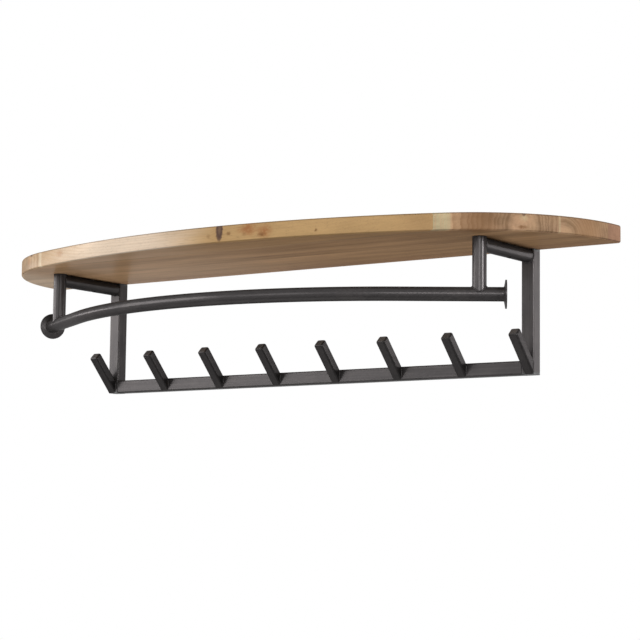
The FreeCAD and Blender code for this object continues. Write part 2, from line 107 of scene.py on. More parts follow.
class CoatRackSizes(bpy.types.PropertyGroup):
    """Sizes that the dressed pieces add to the frame."""

    end_radius: length("Shelf end radius", "Plan radius of the two shelf ends", 0.240)
    edge_radius: length("Shelf edge radius", "Rounding of the sanded shelf edges", 0.0030)
    corner_radius: length("Shelf corner radius", "Plan rounding of the corners at the wall", 0.0042)
    edge_steps: IntProperty(name="Edge steps", description="Facets in a rounded edge", default=5, min=1)
    facet: length("Outline facet", "Length of a facet of the shelf outline", 0.006)
    rail_end_angle: angle("Rail end angle", "Turn in plan of the straight rail ends", 32)
    rail_overhang: length("Rail overhang", "Rail past the axis of a drop", 0.034)
    cope_land: length("Cope land", "Blunt end left on a coped tube", 0.003)
    weld_bead: length("Weld bead", "Radius of a weld bead", 0.0012)
    weld_pitch: length("Weld pitch", "Distance between two ripples of a bead", 0.0016)
    weld_ripple: amount("Weld ripple", "Depth of the ripples against the bead radius", 0.07)
    hook_angle: angle("Hook angle", "Rise of the hooks above level", 47)
    hook_length: length("Hook length", "Length of a hook along its lower edge", 0.0720)
    hook_round: length("Hook rounding", "Rounding of the worn hook edges", 0.0032)
    disc_round: length("Disc rounding", "Softening of the disc rims", 0.0006)
    plug_round: length("Plug rounding", "Softening of the plug edges", 0.0008)


class CoatRackColours(bpy.types.PropertyGroup):
    """Colours of the finishes, as linear values."""

    # Cream is partly pale wood and partly a painted sheen of the light from the left front
    cream_and_sheen: colour("Cream wood", "Early wood and sapwood at the left of the front", (0.800, 0.640, 0.490))
    tan: colour("Tan wood", "Early wood at the left tips of the boards", (0.52, 0.37, 0.235))
    honey: colour("Honey wood", "Early wood of the front board", (0.520, 0.333, 0.156))
    honey_late: colour("Honey late wood", "Late wood of the front board", (0.45, 0.26, 0.12))
    brown: colour("Brown wood", "Early wood of the inner boards", (0.55, 0.35, 0.205))
    pale_brown: colour("Pale brown wood", "Left ends of the inner boards", (0.52, 0.375, 0.25))
    face: colour("Board face", "Early wood on the wide faces of the boards", (0.50, 0.292, 0.150))
    brown_late: colour("Brown late wood", "Late wood of the inner boards", (0.29, 0.16, 0.08))
    rosy: colour("Rosy wood", "Early wood of the back board", (0.59, 0.34, 0.220))
    rosy_late: colour("Rosy late wood", "Late wood of the back board", (0.40, 0.20, 0.115))
    sapwood: colour("Sapwood", "Pale outer wood of a trunk", (0.500, 0.410, 0.248))
    speck: colour("Speck", "Pin knots and small brown marks", (0.18, 0.085, 0.035))
    knot: colour("Knot", "Dark rim of a knot", (0.095, 0.055, 0.045))
    knot_core: colour("Knot core", "Inside of a knot", (0.17, 0.105, 0.072))
    burl: colour("Burl", "Reddish mottled wood beside a knot", (0.36, 0.15, 0.06))
    steel: colour("Steel lacquer", "Dark gunmetal lacquer of the frame", (0.056, 0.0522, 0.0525))
    steel_worn: colour("Worn lacquer", "Lacquer where it is thin", (0.075, 0.069, 0.068))
    # Partly bare steel where coats rub, partly painted light on the hooks' end faces
    bare_steel_and_light: colour("Bare steel", "Hook tips where coats rub the lacquer thin", (0.138, 0.132, 0.130))
    plastic: colour("Plug plastic", "Moulded black plastic", (0.018, 0.018, 0.019))
    screw: colour("Screw zinc", "Zinc plate of the shelf screws", (0.52, 0.51, 0.47))
    floor: colour("Floor", "Pale studio floor", (0.82, 0.82, 0.81))


class CoatRackStudio(bpy.types.PropertyGroup):
    """Camera and lamps."""

    camera_place: FloatVectorProperty(
        name="Camera place", description="Where the camera stands", size=3,
        default=(1.8108, -2.5604, -0.3433), subtype="TRANSLATION", unit="LENGTH",
    )
    camera_azimuth: angle("Camera azimuth", "Turn of the camera round the rack", 35.098)
    camera_pitch: angle("Camera pitch", "How far the camera looks up", 6.446)
    camera_roll: angle("Camera roll", "Lean of the picture", 0.691)
    camera_lens: FloatProperty(
        name="Lens", description="Focal length in millimetres on a 36 mm sensor", default=115.35
    )
    floor_drop: length("Floor drop", "From the middle of the rack down to the floor", 1.9)
    floor_radius: length("Floor radius", "Where the floor has faded out", 5.0)
    key_power: power("Key power", "Large soft light at the left front", 61)
    left_power: power("Left power", "Soft light at the left end", 11)
    front_power: power("Front power", "Soft light at the front", 11)
    near_power: power("Near power", "Small soft light before the right bracket", 3.2)
    side_power: power("Side power", "Small soft light at the right", 6.5)
    rim_power: power("Rim power", "Soft light from behind on the right", 2.6)
    back_power: power("Back power", "Large soft light behind the rack", 9)
    low_power: power("Low power", "Wide soft light from the floor", 6.4)
    ambience: amount("Ambience", "Even light from all round", 0.17)


# Node trees

def arithmetic(operation, swapped=False):
    """A Python operator between sockets or numbers, which adds one Math node."""
    def apply(self, other):
        values = (other, self) if swapped else (self, other)
        return self.graph.math(operation, *values)
    return apply


class Socket:
    """A node's output that takes part in Python expressions."""

    def __init__(self, graph, socket):
        self.graph = graph
        self.socket = socket

    __add__ = arithmetic("ADD")
    __radd__ = arithmetic("ADD", True)
    __sub__ = arithmetic("SUBTRACT")
    __rsub__ = arithmetic("SUBTRACT", True)
    __mul__ = arithmetic("MULTIPLY")
    __rmul__ = arithmetic("MULTIPLY", True)
    __truediv__ = arithmetic("DIVIDE")
    __pow__ = arithmetic("POWER")


class Graph:
    """Adds nodes to a tree, each from its type, its inputs and its settings."""

    def __init__(self, tree):
        self.tree = tree
        self.tree.nodes.clear()

    def node(self, kind, inputs=None, settings=None, output=0):
        """Add one node, set it up, fill or link its inputs, and give one of its outputs."""
        new = self.tree.nodes.new(kind)
        for name, value in (settings or {}).items():
            setattr(new, name, value)
        for name, value in (inputs or {}).items():
            if isinstance(value, Socket):
                self.tree.links.new(value.socket, new.inputs[name])
            else:
                new.inputs[name].default_value = value
        return Socket(self, new.outputs[output]) if new.outputs else None

    def math(self, operation, *values):
        """One Math node."""
        return self.node("ShaderNodeMath", dict(enumerate(values)), {"operation": operation})

    def vector(self, operation, *values):
        """One Vector Math node with a vector result."""
        return self.node("ShaderNodeVectorMath", dict(enumerate(values)), {"operation": operation})

    def measure(self, vector):
        """The length of a vector."""
        return self.node("ShaderNodeVectorMath", {0: vector}, {"operation": "LENGTH"}, "Value")

    def split(self, vector):
        """The three components of a vector."""
        first = self.node("ShaderNodeSeparateXYZ", {0: vector})
        return [Socket(self, part) for part in first.socket.node.outputs]

    def scaled(self, vector, factor):
        """A vector or colour times a number."""
        return self.node("ShaderNodeVectorMath", {0: vector, "Scale": factor}, {"operation": "SCALE"})

    def blend(self, factor, first, second):
        """Mix two colours."""
        settings = {"data_type": "RGBA", "clamp_factor": True}
        return self.node("ShaderNodeMix", {0: factor, 6: first, 7: second}, settings, 2)

    def step(self, value, low, high, start=0.0, end=1.0):
        """Ease from start to end while a value goes from low to high."""
        settings = {"interpolation_type": "SMOOTHSTEP"}
        inputs = {0: value, 1: low, 2: high, 3: start, 4: end}
        return self.node("ShaderNodeMapRange", inputs, settings)

    def noise(self, place, stretch, detail=2.0, rough=0.5, output="Fac"):
        """Smooth noise, with its scale along each axis."""
        spread = self.vector("MULTIPLY", place, stretch)
        inputs = {"Vector": spread, "Scale": 1.0, "Detail": detail, "Roughness": rough}
        return self.node("ShaderNodeTexNoise", inputs, output=output)

    def highest(self, values):
        """The highest of some values."""
        return reduce(partial(self.math, "MAXIMUM"), values)

    def line_noise(self, value, detail):
        """Smooth noise of one number."""
        inputs = {"W": value, "Scale": 1.0, "Detail": detail}
        return self.node("ShaderNodeTexNoise", inputs, {"noise_dimensions": "1D"})


def opaque(value):
    """A colour property with full alpha."""
    return (*value, 1.0)


def new_finish(name):
    """Start a material, and give its graph and the object's own coordinates."""
    material = bpy.data.materials.new(name)
    material.use_nodes = True
    graph = Graph(material.node_tree)
    return material, graph, graph.node("ShaderNodeTexCoord", output="Object")


def close_finish(graph, inputs):
    """End a material in its surface shader."""
    shader = graph.node("ShaderNodeBsdfPrincipled", inputs)
    graph.node("ShaderNodeOutputMaterial", {"Surface": shader})


def bump(graph, height, depth, strength=1.0):
    """Turn a height from 0 to 1 into a surface normal, its depth in metres."""
    inputs = {"Strength": strength, "Distance": depth, "Height": height}
    return graph.node("ShaderNodeBump", inputs)


# Meshes

def stack_rings(rings):
    """Join rings of points, each to the next, and close both ends."""
    shape = bmesh.new()
    rings = [[shape.verts.new(point) for point in ring] for ring in rings]
    count = len(rings[0])
    for low, high in zip(rings, rings[1:]):
        for here in range(count):
            there = (here + 1) % count
            shape.faces.new((low[here], high[here], high[there], low[there]))
    shape.faces.new(rings[0])
    shape.faces.new(reversed(rings[-1]))
    bmesh.ops.recalc_face_normals(shape, faces=shape.faces)
    return shape


def smooth_mesh(name, shape):
    """Keep a shape as a mesh that is smooth up to its sharp edges."""
    mesh = bpy.data.meshes.new(name)
    shape.to_mesh(mesh)
    shape.free()
    mesh.polygons.foreach_set("use_smooth", [True] * len(mesh.polygons))
    mesh.set_sharp_from_angle(angle=SHARP_FROM)
    return mesh


def add_object(name, data):
    """Put a mesh, a light or a camera in the scene, at the origin."""
    item = bpy.data.objects.new(name, data)
    bpy.context.collection.objects.link(item)
    return item


# Wood

# Noise scales per metre, along the board, across it and upwards
SLOW_BEND = (2.2, 7, 7)
QUICK_BEND = (9, 70, 70)
RING_STRENGTH = (3, 60, 60)
TONE_VEER = (4, 20, 20)
BLUSH = (2, 34, 34)
STREAKS = (5.5, 56, 56)
FIBRES = (16, 640, 640)
PORES = (55, 1500, 1500)
CLOUDS = (5, 14, 14)
MOTTLE = (130, 130, 170)
RAGGED = (420, 420, 420)
YEARS = 90.0
SAP_LINES = 1100.0

# Metres by which noise bends the grain and shakes outlines, and a knot swells the rings
SLOW_REACH = 0.0040
QUICK_REACH = 0.0020
SHAKE = 0.0020
KNOT_SWELL = 0.0035

# Metres from the shelf's middle between which its tones change along it, from the left to the right
TIP_TO_LEFT = (-0.36, -0.21)
LEFT_TO_MIDDLE = (-0.13, 0.03)
CREAM_TO_SAP = (-0.30, 0.0)
PALE_TO_FACE = (-0.46, -0.39)
# The wide faces darken with painted shade from the first of these places to the second
FACE_PAINTED_SHADE = (-0.25, 0.30)
OIL_FADE = (-0.30, 0.15)

# How squarely a face looks up or sideways, from not at all to fully a wide face, an arris or end grain
WIDE_FACE = (0.80, 0.98)
ARRIS = (0.20, 0.50)
END_GRAIN = (0.30, 0.75)

# How much darker pores and end grain are, and how much painted shade darkens the arrises
PORE_SHADE = 0.22
END_SHADE = 0.43
ARRIS_PAINTED_SHADE = 0.38

# Marks at least this wide each way are even shades, smaller ones are mottled
BROAD_MARK = 0.02


@dataclass
class Board:
    """How one board was sawn from its trunk.

    The pith lies across and up, and tilts along the board. Sapwood has its margin, slant and strength, a
    knot its centre and half sizes, and a mark its colour, centre, half sizes and strength.
    """

    pith: tuple
    tilt: tuple
    ring: float
    early: tuple
    late: tuple
    contrast: float
    seed: float
    shade: float = 1.0
    squash: float = 1.0
    heart: float = 0.0
    sap: tuple = ()
    left_end: tuple = ()
    knots: tuple = ()
    marks: tuple = ()


def sawn_boards(tone):
    """The four boards, from the front to the wall."""
    front = Board(
        pith=(-0.3, 0.19), tilt=(0.004, 0.01), ring=0.0042, seed=3.0, shade=1.02,
        early=tone.honey, late=tone.honey_late, contrast=0.26, left_end=tone.cream_and_sheen,
        knots=(
            ((0.0382, -0.29, 0.1085), (0.0057, 0.014, 0.015)),
            ((-0.262, -0.248, 0.117), (0.01, 0.006, 0.005)),
        ),
        marks=(
            (tone.burl, (0.076, -0.288, 0.106), (0.011, 0.01, 0.006), 0.5),
            (tone.burl, (0.0885, -0.287, 0.107), (0.016, 0.012, 0.013), 0.9),
            (tone.burl, (0.114, -0.284, 0.102), (0.015, 0.012, 0.012), 0.9),
            (tone.speck, (0.019, -0.29, 0.101), (0.0042, 0.006, 0.0042), 0.45),
            (tone.speck, (0.054, -0.289, 0.1022), (0.0048, 0.006, 0.0036), 0.8),
            (tone.speck, (0.0805, -0.287, 0.0995), (0.005, 0.008, 0.0034), 0.4),
            (tone.speck, (0.109, -0.284, 0.0975), (0.008, 0.008, 0.004), 0.65),
            (tone.speck, (0.194, -0.273, 0.098), (0.003, 0.006, 0.0032), 0.9),
            (tone.brown_late, (0.35, -0.234, 0.1), (0.055, 0.05, 0.04), 0.22),
            (tone.burl, (-0.305, -0.25, 0.106), (0.012, 0.03, 0.007), 0.4),
        ),
    )
    second = Board(
        pith=(-0.1625, 0.0945), tilt=(0.003, 0.002), ring=0.004, seed=11.0, shade=0.97, squash=0.55,
        early=tone.brown, late=tone.brown_late, contrast=0.6, heart=0.017, sap=(-0.2229, 0.007, 1.0),
        left_end=tone.pale_brown,
        knots=(((-0.21, -0.15, 0.117), (0.012, 0.008, 0.008)),),
        marks=(
            (tone.speck, (0.014, -0.149, 0.089), (0.03, 0.0036, 0.004), 0.5),
            (tone.speck, (0.412, -0.203, 0.1), (0.045, 0.028, 0.06), 0.58),
            (tone.sapwood, (0.46, -0.163, 0.108), (0.01, 0.006, 0.006), 0.6),
            (tone.speck, (0.46, -0.164, 0.0955), (0.01, 0.0085, 0.0032), 0.85),
            (tone.knot, (0.46, -0.1632, 0.1128), (0.01, 0.003, 0.0032), 1.0),
            (tone.knot, (-0.393, -0.215, 0.113), (0.01, 0.0045, 0.0032), 0.9),
            (tone.burl, (-0.4, -0.21, 0.103), (0.012, 0.012, 0.01), 0.35),
        ),
    )
    third = Board(
        pith=(-0.113, 0.084), tilt=(-0.006, 0.004), ring=0.0046, seed=23.0, shade=1.03,
        early=tone.brown, late=tone.brown_late, contrast=0.52, heart=0.022, sap=(-0.1195, 0.001, 0.6),
        left_end=tone.pale_brown,
        knots=(((0.235, -0.072, 0.117), (0.011, 0.007, 0.007)),),
        marks=((tone.brown_late, (0.512, -0.076, 0.1), (0.03, 0.032, 0.06), 0.5),),
    )
    back = Board(
        pith=(-0.13, 0.1), tilt=(0.02, 0.006), ring=0.0036, seed=37.0, shade=0.98,
        early=tone.rosy, late=tone.rosy_late, contrast=0.45,
    )
    return front, second, third, back


@dataclass
class Cut:
    """What the steps of a board's material share: places, and how each face is cut."""

    graph: Graph
    board: Board
    tone: CoatRackColours
    place: Socket
    shifted: Socket
    ragged: Socket
    along: Socket
    depth: Socket
    upward: Socket
    end_grain: Socket
    flat: Socket
    arris: Socket


def inside(graph, place, centre, half):
    """How far out a point lies in an ellipsoid, one at its skin."""
    away = graph.vector("SUBTRACT", place, centre)
    return graph.measure(graph.vector("DIVIDE", away, half))


def ragged_place(graph, place):
    """Places shaken by up to two millimetres, for uneven outlines."""
    rough = graph.noise(place, RAGGED, 2.0, 0.6, "Color")
    shaken = graph.vector("MULTIPLY_ADD", rough, (2 * SHAKE,) * 3, place)
    return graph.vector("SUBTRACT", shaken, (SHAKE,) * 3)


def read_cut(graph, board, tone, place):
    """Tell end grain, wide faces and arrises apart by the way they face."""
    own_offset = (board.seed, board.seed * 0.37, board.seed * 0.71)
    along, depth, _ = graph.split(place)
    facing = graph.split(graph.node("ShaderNodeNewGeometry", output="Normal"))
    level = graph.math("ABSOLUTE", facing[2])
    flat = graph.step(level, *WIDE_FACE)
    return Cut(
        graph=graph, board=board, tone=tone, place=place,
        shifted=graph.vector("ADD", place, own_offset), ragged=ragged_place(graph, place),
        along=along, depth=depth, upward=facing[2],
        end_grain=graph.step(graph.math("ABSOLUTE", facing[0]), *END_GRAIN),
        flat=flat, arris=graph.step(level, *ARRIS) * (1.0 - flat),
    )


def knot_fields(cut):
    """Masks of the knots: their cores, their dark rims and the swirl of the grain round them."""
    graph = cut.graph
    fields = []
    for centre, half in cut.board.knots:
        reach = inside(graph, cut.ragged, centre, half)
        core = graph.step(reach, 0.55, 1.1, 1.0, 0.0)
        rim = graph.step(reach, 0.15, 0.70) * graph.step(reach, 0.88, 1.25, 1.0, 0.0)
        swirl = graph.step(inside(graph, cut.place, centre, half), 0.8, 3.0, 1.0, 0.0)
        fields.append((core, rim, swirl))
    return [graph.highest(masks) for masks in zip(*fields)]


def bend(cut, scale, detail, reach):
    """Noise that moves the grain by up to a reach across the board and upwards."""
    noise = cut.graph.noise(cut.shifted, scale, detail, 0.5, "Color")
    return cut.graph.vector("MULTIPLY_ADD", noise, (0, 2 * reach, 2 * reach), (0, -reach, -reach))


def pith_distance(cut):
    """Distance from the trunk's pith, which drifts, wanders slowly and wavers along the board."""
    graph, board = cut.graph, cut.board
    wander = bend(cut, SLOW_BEND, 1.0, SLOW_REACH)
    waver = bend(cut, QUICK_BEND, 2.0, QUICK_REACH)
    tilt = {"Y": cut.along * board.tilt[0], "Z": cut.along * board.tilt[1]}
    pith = graph.vector("ADD", graph.node("ShaderNodeCombineXYZ", tilt), (0, *board.pith))
    bent = graph.vector("ADD", cut.place, graph.vector("ADD", wander, waver))
    around = graph.vector("SUBTRACT", bent, pith)
    return graph.measure(graph.vector("MULTIPLY", around, (0, 1, board.squash)))


def ring_fields(cut, radius):
    """Noise from year to year, and rings that darken towards their end and start pale again."""
    graph, board = cut.graph, cut.board
    years = graph.line_noise(radius * YEARS + board.seed, 2.0)
    phase = graph.math("FRACT", radius / board.ring + years * 1.3)
    late = graph.step(phase, 0.25, 0.90) * graph.step(phase, 0.91, 1.0, 1.0, 0.0)
    strength = graph.step(graph.noise(cut.shifted, RING_STRENGTH), 0.25, 0.75, 0.40, 1.0)
    rings = late * strength * (1.0 - cut.flat * 0.35) * board.contrast
    if board.heart:
        rings = rings * graph.step(radius, board.heart * 0.7, board.heart * 1.3, 0.30, 1.0)
    return years, rings


def early_wood(cut):
    """The wood between the rings, by its place along the board and the way it is cut."""
    graph, board, tone = cut.graph, cut.board, cut.tone
    early = opaque(board.early)
    # On the front board the left end takes the cream, partly pale wood and partly painted sheen
    if board.left_end:
        veer = graph.noise(cut.shifted, TONE_VEER) * 0.16 - 0.08
        past_tip = graph.step(cut.along + veer * 0.5, *TIP_TO_LEFT)
        left = graph.blend(past_tip, opaque(tone.tan), opaque(board.left_end))
        early = graph.blend(graph.step(cut.along + veer, *LEFT_TO_MIDDLE), left, early)
    # Wide faces take their own early wood, darkened towards the right with painted shade
    face = graph.scaled(tuple(tone.face), graph.step(cut.along, *FACE_PAINTED_SHADE, 1.04, 0.90))
    pale_face = graph.scaled(tuple(tone.pale_brown), 1.22)
    face = graph.blend(graph.step(cut.along, *PALE_TO_FACE), pale_face, face)
    early = graph.blend(cut.flat * 0.80, early, face)
    blush = graph.step(graph.noise(cut.shifted, BLUSH), 0.40, 0.66, 0.0, 0.25)
    return graph.blend(blush * cut.end_grain, early, opaque(tone.rosy))


def add_heart(cut, wood, radius):
    """Lighten the wood round the pith, inside a dark line."""
    graph, board = cut.graph, cut.board
    glow = graph.step(radius, board.heart * 0.6, board.heart * 0.95, 0.32, 0.0)
    wood = graph.scaled(wood, 1.0 + glow * (1.0 - cut.flat * 0.8))
    line = graph.step(graph.math("ABSOLUTE", radius - board.heart), 0.0003, 0.0018, 0.38, 0.0)
    return graph.blend(line * (1.0 - cut.flat * 0.7), wood, opaque(board.late))


def add_sapwood(cut, wood, radius, years):
    """Lay finely lined sapwood in front of its margin, and tell where it is."""
    graph, board, tone = cut.graph, cut.board, cut.tone
    start, slant, strength = board.sap
    lines = graph.line_noise(radius * SAP_LINES, 1.0)
    # Towards the left the sapwood takes the cream, which holds painted sheen
    creamy = graph.step(cut.along, *CREAM_TO_SAP, 0.50, 1.0)
    outer = graph.blend(creamy, opaque(tone.cream_and_sheen), opaque(tone.sapwood))
    pale = graph.blend(graph.step(lines, 0.40, 0.65, 0.0, 0.45), outer, opaque(board.early))
    margin = cut.along * slant - cut.depth + start
    sap = graph.step(margin + years * 0.0010, -0.0002, 0.0012, 0.0, strength) * (1.0 - cut.flat * 0.85)
    return graph.blend(sap, wood, pale), sap


def add_marks(cut, wood):
    """Stain the wood with the board's own marks."""
    graph = cut.graph
    mottle = graph.step(graph.noise(cut.place, MOTTLE, 3.0, 0.6), 0.32, 0.60, 0.45, 1.0)
    for stain, centre, half, strength in cut.board.marks:
        mark = graph.step(inside(graph, cut.ragged, centre, half), 0.15, 1.15, strength, 0.0)
        if min(half) < BROAD_MARK:
            mark = mark * mottle
        wood = graph.blend(mark, wood, opaque(stain))
    return wood


def add_knots(cut, wood, core, rim, swirl):
    """Paint the knots, and darken the grain that runs round them."""
    graph, tone = cut.graph, cut.tone
    wood = graph.blend(swirl * 0.25, wood, opaque(cut.board.late))
    wood = graph.blend(core * 0.95, wood, opaque(tone.knot_core))
    return graph.blend(rim * 0.78, wood, opaque(tone.knot))


def make_wood(name, board, tone, seams):
    """Rings about the board's own pith, seen as long grain or end grain by how they are cut."""
    material, graph, place = new_finish(name)
    cut = read_cut(graph, board, tone, place)
    radius = pith_distance(cut)
    if board.knots:
        core, rim, swirl = knot_fields(cut)
        radius = radius + swirl * KNOT_SWELL
    years, rings = ring_fields(cut, radius)
    wood = graph.blend(rings, early_wood(cut), opaque(board.late))
    end_grain = cut.end_grain
    if board.heart:
        wood = add_heart(cut, wood, radius)
    if board.sap:
        wood, sap = add_sapwood(cut, wood, radius, years)
        end_grain = end_grain * (1.0 - sap * 0.6)

    # Broad streaks, fine fibres and short open pores, all drawn out along the grain
    dark, light = 1 - 0.34 * board.contrast, 1 + 0.24 * board.contrast
    streaks = graph.step(graph.noise(cut.shifted, STREAKS, 4.0, 0.6), 0.25, 0.75, dark, light)
    fibres = graph.step(graph.noise(cut.shifted, FIBRES, 3.0, 0.6), 0.2, 0.8, 0.96, 1.035)
    pores = graph.step(graph.noise(cut.shifted, PORES, 1.0), 0.62, 0.72)
    clouds = graph.step(graph.noise(cut.shifted, CLOUDS), 0.3, 0.7, 0.92, 1.05)
    wood = graph.scaled(wood, streaks * fibres * clouds * (board.shade - pores * PORE_SHADE))
    # End grain is darker wood, and the rounded arrises get painted shade
    wood = graph.scaled(wood, (1.0 - end_grain * END_SHADE) * (1.0 - cut.arris * ARRIS_PAINTED_SHADE))
    rough = 0.36 + pores * 0.15 - rings * 0.06
    height = 0.5 - pores * 0.5 + fibres * 0.12 + rings * 0.10
    if board.marks:
        wood = add_marks(cut, wood)
    if board.knots:
        wood = add_knots(cut, wood, core, rim, swirl)
    for seam in seams:
        glue = graph.step(graph.math("ABSOLUTE", cut.depth - seam), 0.0002, 0.0006, 0.55, 0.0)
        wood = graph.blend(glue * cut.flat, wood, opaque(tone.speck))

    # The oil shines on the underside, less on the edges and hardly on the top
    sheen = (0.35 + cut.flat * 0.65) * graph.step(cut.upward, 0.5, 0.9, 1.0, 0.15)
    oil = graph.step(cut.along + clouds * 0.2 - 0.2, *OIL_FADE, 0.22, 0.05) * sheen
    close_finish(graph, {
        "Base Color": wood, "Roughness": rough, "Specular IOR Level": 0.0,
        "Coat Weight": oil, "Coat Roughness": 0.30, "Normal": bump(graph, height, 0.00018),
    })
    return material


def edge_arcs(sizes, front, back, inset):
    """Arcs of a board's free edge on the right, each as centre, radius, first and last turn."""
    half = -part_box("shelf_back_board")[0].x
    depth = -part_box("shelf_front_board")[0].y
    inner = half - sizes.end_radius
    bow = (half**2 + depth**2 - 2 * half * sizes.end_radius) / (2 * (depth - sizes.end_radius))
    behind = bow - depth
    join = math.atan2(behind, inner)
    end = sizes.end_radius - inset
    front_arc = bow - inset
    meet = end * math.sin(join)
    first_turn = math.asin(-back / end)
    arcs = []
    if -back < sizes.corner_radius:
        reach = sizes.end_radius - sizes.corner_radius
        first_turn = math.asin(sizes.corner_radius / reach)
        centre = Vector((inner + reach * math.cos(first_turn), -sizes.corner_radius))
        arcs.append((centre, sizes.corner_radius - inset, -math.pi / 2, first_turn))
    if -back < meet:
        arcs.append((Vector((inner, 0)), end, first_turn, math.asin(min(-front, meet) / end)))
    if -front > meet:
        first = (behind + max(-back, meet)) / front_arc
        last = min(1, (behind - front) / front_arc)
        arcs.append((Vector((0, behind)), front_arc, math.asin(first), math.asin(last)))
    return arcs


def board_outline(sizes, front, back, inset):
    """Plan of a board between two glue lines, its free edge moved in by an inset."""
    right = []
    uncut = edge_arcs(sizes, front, back, 0)
    for (centre, radius, start, stop), full in zip(edge_arcs(sizes, front, back, inset), uncut):
        steps = max(sizes.edge_steps, round(full[1] * (full[3] - full[2]) / sizes.facet))
        for number in range(1 if right else 0, steps + 1):
            turn = start + (stop - start) * number / steps
            right.append(centre + radius * Vector((math.cos(turn), -math.sin(turn))))
    left = [Vector((-point.x, point.y)) for point in reversed(right)]
    if right[-1].x < SAME_POINT:
        left = left[1:]
    return right + left


def board_mesh(name, sizes, front, back, floor, top):
    """Stack the outline from the underside to the top, round at the free edge."""
    soft = sizes.edge_radius
    levels = []
    for number in range(sizes.edge_steps + 1):
        turn = math.pi / 2 * number / sizes.edge_steps
        levels.append((soft * (1 - math.sin(turn)), floor + soft * (1 - math.cos(turn))))
    levels += [(inset, floor + top - height) for inset, height in reversed(levels)]
    plans = [board_outline(sizes, front, back, inset) for inset, _ in levels]
    rings = [[(x, y, height) for x, y in plan] for plan, (_, height) in zip(plans, levels)]
    return smooth_mesh(name, stack_rings(rings))


# Steel and plastic

# Noise scales per metre: draw lines on tubes that stand, lie level or run to the wall, then the finishes
LINES_UPRIGHT = (420, 420, 9)
LINES_LEVEL = (9, 420, 420)
LINES_INWARD = (420, 9, 420)
LACQUER_CLOUDS = (26, 26, 26)
LACQUER_SKIN = (900, 900, 900)
PLASTIC_GRAIN = (1600, 1600, 1600)
PLASTIC_CLOUDS = (60, 60, 60)
ZINC_TURNING = (120, 120, 2600)
ZINC_SPOTS = (420, 420, 420)

# Painted shade: how much darker the hooks' lacquer is made than the tubes'
HOOK_PAINTED_SHADE = 0.68


def make_steel(name, tone, draw_lines, tip=None, shade=1.0):
    """Dark lacquer over drawn steel, darkened as painted shade by a shade below one, with wear and
    painted light on the faces that look towards a tip.
    """
    material, graph, place = new_finish(name)
    cloud = graph.noise(place, LACQUER_CLOUDS, 3.0, 0.55)
    lines = graph.noise(place, draw_lines, 3.0, 0.6)
    skin = graph.noise(place, LACQUER_SKIN, 1.0)
    thin = graph.step(cloud + (lines - 0.5) * 0.6, 0.42, 0.70)
    paint = graph.blend(thin * 0.5, opaque(tone.steel), opaque(tone.steel_worn))
    # A shade below one paints shade into the lacquer
    paint = graph.scaled(paint, graph.step(lines, 0.3, 0.7, 0.94 * shade, 1.06 * shade))
    # Faces towards the tip turn lighter: partly worn lacquer, partly painted light
    if tip:
        facing = graph.node("ShaderNodeNewGeometry", output="Normal")
        dot = {"operation": "DOT_PRODUCT"}
        towards = graph.node("ShaderNodeVectorMath", {0: facing, 1: tip}, dot, "Value")
        patchy = graph.step(cloud + (skin - 0.5) * 0.3, 0.25, 0.55, 0.55, 1.0)
        worn = graph.step(towards, 0.78, 0.97) * patchy
        paint = graph.blend(worn, paint, opaque(tone.bare_steel_and_light))
    rough = 0.29 + (cloud - 0.5) * 0.08 + (lines - 0.5) * 0.05
    height = skin * 0.5 + lines * 0.5
    close_finish(graph, {
        "Base Color": paint, "Metallic": 0.48, "Roughness": rough,
        "Specular IOR Level": 0.0, "Specular Tint": (0.50, 0.50, 0.50, 1.0),
        "Normal": bump(graph, height, 0.00001, 0.4),
    })
    return material


def make_plastic(tone):
    """Moulded plastic with a fine spark-eroded grain."""
    material, graph, place = new_finish("plug_plastic")
    grain = graph.noise(place, PLASTIC_GRAIN)
    cloud = graph.noise(place, PLASTIC_CLOUDS)
    shade = graph.scaled(tuple(tone.plastic), graph.step(cloud, 0.2, 0.8, 0.85, 1.25))
    close_finish(graph, {
        "Base Color": shade, "Roughness": 0.52 + (cloud - 0.5) * 0.2,
        "Normal": bump(graph, grain, 0.00004),
    })
    return material


def make_zinc(tone):
    """Zinc plate with turning marks round the screw's axis."""
    material, graph, place = new_finish("screw_zinc")
    marks = graph.noise(place, ZINC_TURNING)
    spots = graph.noise(place, ZINC_SPOTS, 3.0)
    dull = graph.scaled(tuple(tone.screw), graph.step(spots, 0.2, 0.8, 0.75, 1.08))
    close_finish(graph, {
        "Base Color": dull, "Metallic": 1.0, "Roughness": 0.30 + marks * 0.18,
        "Normal": bump(graph, marks, 0.00003),
    })
    return material


def dress(node, material, rounding=0.0):
    """Give a CAD node its finish, and soften its edges where asked."""
    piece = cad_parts[node]
    piece.data.materials.clear()
    piece.data.materials.append(material)
    if rounding:
        weld = piece.modifiers.new("Merge", "WELD")
        weld.merge_threshold = SAME_POINT
        soft = piece.modifiers.new("Soften", "BEVEL")
        soft.width = rounding
        soft.segments = SOFTEN_STEPS
        soft.limit_method = "ANGLE"
        soft.angle_limit = SOFTEN_FROM
        even = piece.modifiers.new("Even", "WEIGHTED_NORMAL")
        even.keep_sharp = False


